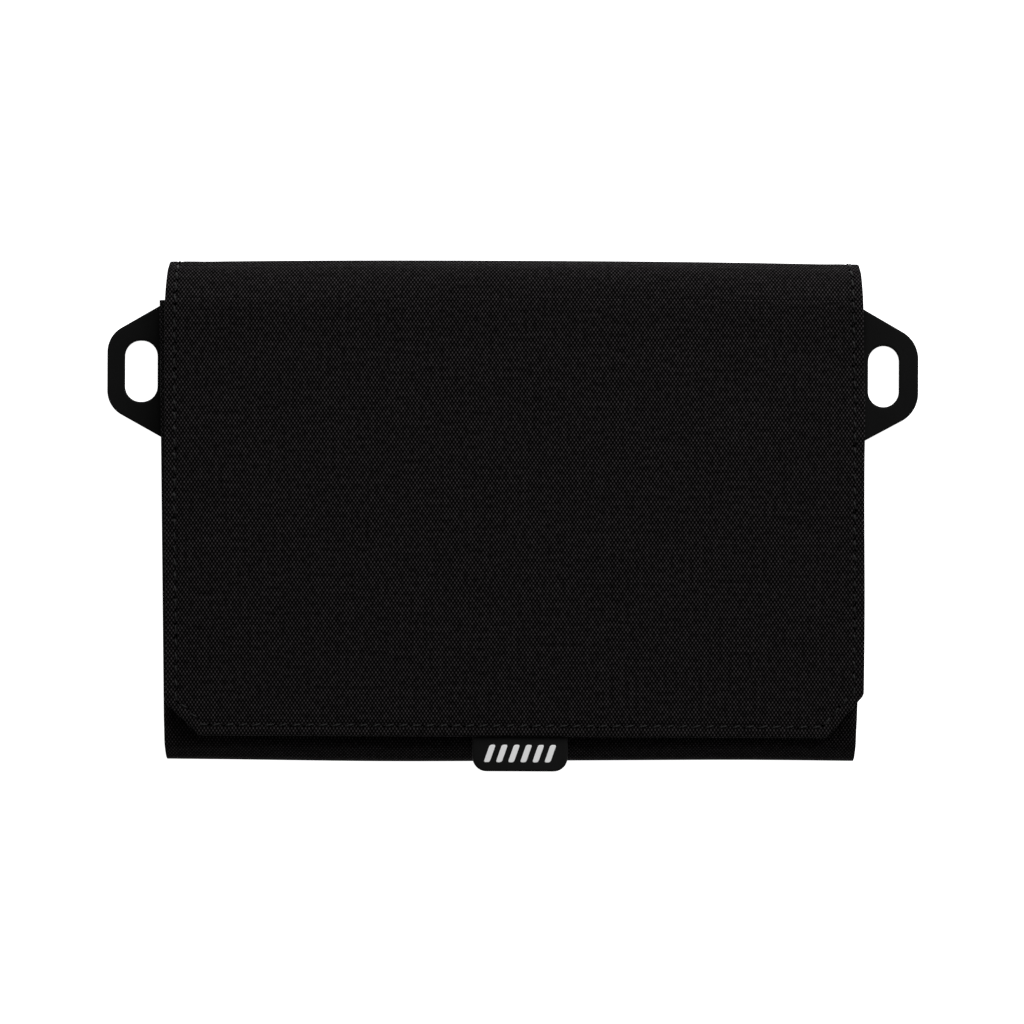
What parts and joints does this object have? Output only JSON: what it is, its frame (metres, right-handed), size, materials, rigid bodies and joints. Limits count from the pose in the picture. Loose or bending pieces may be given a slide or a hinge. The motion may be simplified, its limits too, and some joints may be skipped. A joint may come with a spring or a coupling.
{
  "type": "passport holder wallet",
  "caption": "Flat zipped travel wallet in black woven cloth, closed by a folding flap with a moulded pull tab, with a strap loop at each side.",
  "frame": {"origin": "middle of the closed wallet's outline, on the surface that its back lies on", "axes": "+X across the wallet, to the right as one looks at the flap, +Y from the pouch's bottom edge to the fold, +Z out of the back, through the closed flap"},
  "size_m": [0.21, 0.131, 0.014],
  "materials": {
    "shell_cloth": "black plain-weave polyester, slight sheen",
    "panel_cloth": "black plain-weave polyester, matt",
    "lining_cloth": "fine black nylon lining",
    "mesh_cloth": "black knitted mesh",
    "binding_tape": "black grosgrain binding",
    "stiffener_board": "plain sheet plastic",
    "hook_and_loop": "black hook-and-loop pile",
    "moulded_plastic": "matt black moulded",
    "label_rubber": "matt black moulded rubber",
    "zip_tape": "black woven zip tape",
    "zip_coil": "black nylon coil, satin",
    "zip_metal": "black painted, satin"
  },
  "bodies": {
    "pouch": {"back_cloth": "shell_cloth", "back_board": "stiffener_board", "back_lining": "lining_cloth", "pocket_divider": "lining_cloth", "pouch_top_binding": "binding_tape", "left_gusset": "panel_cloth", "right_gusset": "panel_cloth", "bottom_gusset_upper": "panel_cloth", "bottom_gusset_lower": "panel_cloth", "zip_header": "panel_cloth", "front_panel": "panel_cloth", "zip_tape_upper": "zip_tape", "zip_tape_lower": "zip_tape", "zip_coil_upper": "zip_coil", "zip_coil_lower": "zip_coil", "zip_top_stop_upper": "zip_metal", "zip_top_stop_lower": "zip_metal", "zip_bottom_stop": "zip_metal", "card_slot_rear": "lining_cloth", "card_slot_middle": "lining_cloth", "card_slot_front": "lining_cloth", "ticket_pocket": "mesh_cloth", "closure_loop_strip": "hook_and_loop", "left_strap_loop_flange": "moulded_plastic", "right_strap_loop_flange": "moulded_plastic"},
    "fold_lower": {"fold_lower_cloth": "shell_cloth", "fold_lower_lining": "lining_cloth"},
    "fold_middle": {"fold_middle_cloth": "shell_cloth", "fold_middle_lining": "lining_cloth"},
    "fold_upper": {"fold_upper_cloth": "shell_cloth", "fold_upper_lining": "lining_cloth"},
    "flap": {"flap_cloth": "shell_cloth", "flap_board": "stiffener_board", "flap_lining": "lining_cloth", "flap_pocket": "mesh_cloth", "flap_pocket_binding": "binding_tape", "closure_hook_strip": "hook_and_loop", "pull_tab_flange": "label_rubber"},
    "pull_tab": {"pull_tab": "label_rubber"},
    "zip_slider": {"zip_slider": "zip_metal", "zip_pull": "zip_metal"},
    "left_strap_loop": {"left_strap_loop": "moulded_plastic"},
    "right_strap_loop": {"right_strap_loop": "moulded_plastic"}
  },
  "joints": [
    {"name": "flap_open", "type": "hinge", "parent": "pouch", "child": "fold_lower", "pos_m": [0, 0.062, 0.0004], "axis": [-1, 0, 0], "range_deg": [0, 36.61]},
    {"name": "fold_bend", "type": "hinge", "parent": "fold_lower", "child": "fold_middle", "pos_m": [0, 0.0655, 0.003], "axis": [-1, 0, 0], "range_deg": [0, 89.1]},
    {"name": "upper_bend", "type": "hinge", "parent": "fold_middle", "child": "fold_upper", "pos_m": [0, 0.0604, 0.0101], "axis": [-1, 0, 0], "range_deg": [0, 36.82]},
    {"name": "flap_bend", "type": "hinge", "parent": "fold_upper", "child": "flap", "pos_m": [0, 0.0493, 0.0136], "axis": [-1, 0, 0], "range_deg": [0, 17.52]},
    {"name": "tab_flex", "type": "hinge", "parent": "flap", "child": "pull_tab", "pos_m": [0.0019, -0.0568, 0.0125], "axis": [-1, 0, 0], "range_deg": [-30, 45], "stiffness_Nm_per_rad": 0.002},
    {"name": "zip_slide", "type": "slide", "parent": "pouch", "child": "zip_slider", "axis": [-1, 0, 0], "range_m": [0, 0.14]},
    {"name": "left_loop_flex", "type": "hinge", "parent": "pouch", "child": "left_strap_loop", "pos_m": [-0.0903, 0.0364, 0.0014], "axis": [0, 1, 0], "range_deg": [-60, 60], "stiffness_Nm_per_rad": 0.005},
    {"name": "right_loop_flex", "type": "hinge", "parent": "pouch", "child": "right_strap_loop", "pos_m": [0.0903, 0.0364, 0.0014], "axis": [0, -1, 0], "range_deg": [-60, 60], "stiffness_Nm_per_rad": 0.005}
  ],
  "couplings": [
    {"joint": "fold_bend", "follows": "flap_open", "ratio": 2.4335},
    {"joint": "upper_bend", "follows": "flap_open", "ratio": 1.0055},
    {"joint": "flap_bend", "follows": "flap_open", "ratio": 0.47807}
  ]
}
